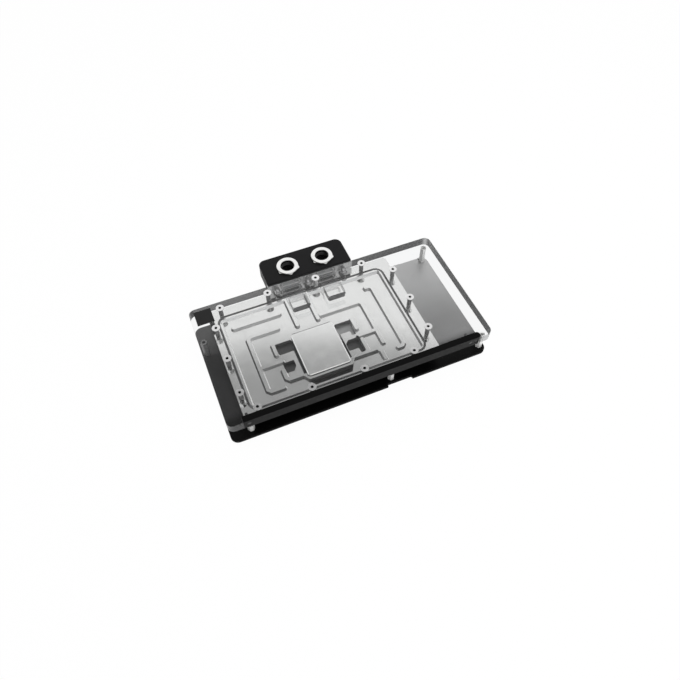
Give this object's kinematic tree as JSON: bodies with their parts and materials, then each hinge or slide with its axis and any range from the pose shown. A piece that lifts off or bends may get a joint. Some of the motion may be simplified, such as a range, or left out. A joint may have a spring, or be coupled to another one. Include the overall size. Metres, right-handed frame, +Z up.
{
  "type": "gpu water block",
  "caption": "Full-cover liquid cooling block for a graphics card: clear cover, nickel cold plate, black terminal with two ports, light bar and backplate.",
  "frame": {"origin": "bottom centre of the whole block's box, on the backplate's outer face", "axes": "+X along the block, +Y towards the terminal with the ports, +Z up out of the clear cover"},
  "size_m": [0.2506, 0.1616, 0.037],
  "materials": {
    "acrylic": "gloss",
    "nickel": "polished",
    "steel": "polished",
    "black_acetal": "matte",
    "black_metal": "matte",
    "black_steel": "satin",
    "rubber": "matte",
    "black_plastic": "satin",
    "board": "satin",
    "led": "gloss"
  },
  "bodies": {
    "root": {"acrylic_cover": "acrylic", "cold_plate": "nickel", "jet_plate": "nickel", "main_gasket": "rubber", "cover_screws": "steel", "badge_plate": "black_metal", "light_bar": "black_metal", "light_bar_screws": "black_steel", "led_socket": "black_plastic", "led_board": "board", "led_chips": "led", "terminal_block": "black_acetal", "port_insert_left": "nickel", "port_insert_right": "nickel", "port_seal_left": "rubber", "port_seal_right": "rubber", "duct_seal_left": "rubber", "duct_seal_right": "rubber", "terminal_bushes": "nickel", "terminal_screws": "steel", "backplate": "black_metal", "support_posts": "nickel", "card_standoffs": "nickel", "backplate_screws": "black_steel"}
  },
  "joints": []
}
